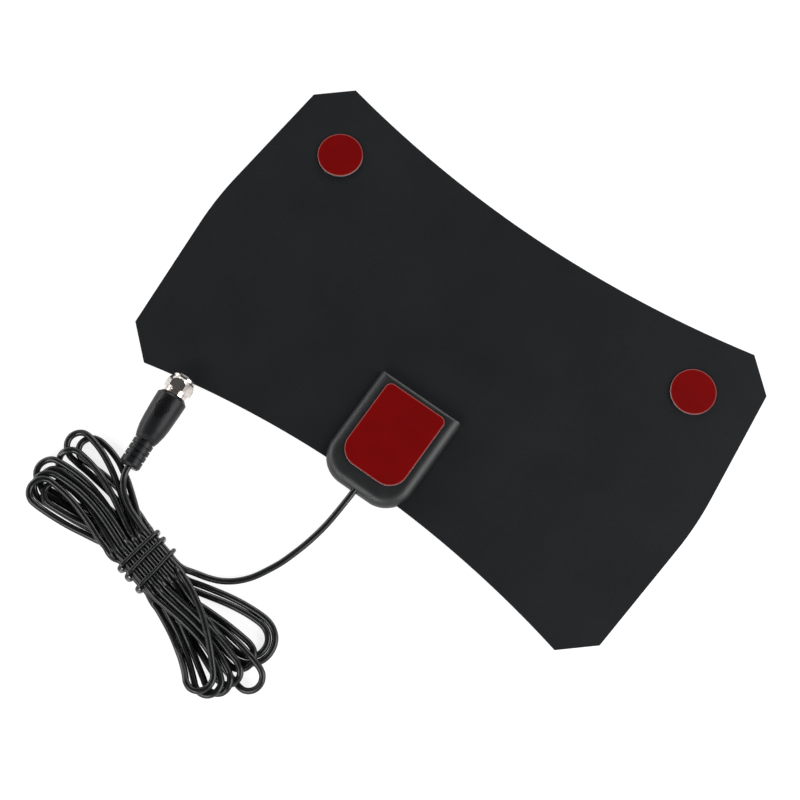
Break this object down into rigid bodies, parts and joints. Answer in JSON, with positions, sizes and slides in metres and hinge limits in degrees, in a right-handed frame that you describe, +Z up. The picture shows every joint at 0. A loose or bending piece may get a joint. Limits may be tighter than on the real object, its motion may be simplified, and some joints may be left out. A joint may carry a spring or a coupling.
{
  "type": "flat indoor television antenna",
  "caption": "Thin waisted film antenna with a small housing at one long edge, adhesive pads, and a tied thin lead ending in a screw-on coaxial plug.",
  "frame": {"origin": "on the floor under the middle of the film sheet, which is the middle of the object without its lead", "axes": "+X along the sheet's long axis, +Y across it away from the edge that the lead leaves, +Z up out of the sheet's back"},
  "size_m": [0.251, 0.253, 0.014],
  "materials": {
    "film": "fine matte grain",
    "foil": "plain foil, hidden",
    "housing": "satin moulded",
    "board": "solder mask, hidden",
    "ferrite": "matt, hidden",
    "copper": "copper",
    "brass": "plain, hidden",
    "foam_tape": "foam",
    "liner": "semi-gloss release film",
    "jacket": "satin vinyl",
    "dielectric": "plain",
    "tie_wire": "plastic covered wire",
    "boot": "satin moulded vinyl",
    "nickel": "nickel plate"
  },
  "bodies": {
    "antenna": {"front_film": "film", "back_film": "film", "foil_left": "foil", "foil_right": "foil", "front_cover": "housing", "back_cover": "housing", "circuit_board": "board", "balun_core": "ferrite", "balun_winding": "copper", "eyelet_left": "brass", "eyelet_right": "brass", "tape_left": "foam_tape", "tape_right": "foam_tape", "tape_case": "foam_tape", "liner_left": "liner", "liner_right": "liner", "liner_case": "liner", "lead": "jacket", "lead_dielectric": "dielectric", "lead_braid": "copper", "lead_conductor": "copper", "lead_hank": "jacket", "lead_tail": "jacket", "cord_tie": "tie_wire", "plug_boot": "boot", "plug_body": "nickel", "plug_insulator": "dielectric", "plug_pin": "copper"},
    "nut": {"plug_nut": "nickel"}
  },
  "joints": [
    {"name": "nut_spin", "type": "hinge", "parent": "antenna", "child": "nut", "pos_m": [-0.08586, -0.07787, 0.00685], "axis": [-0.0872, 0.9962, 0], "continuous": true}
  ]
}
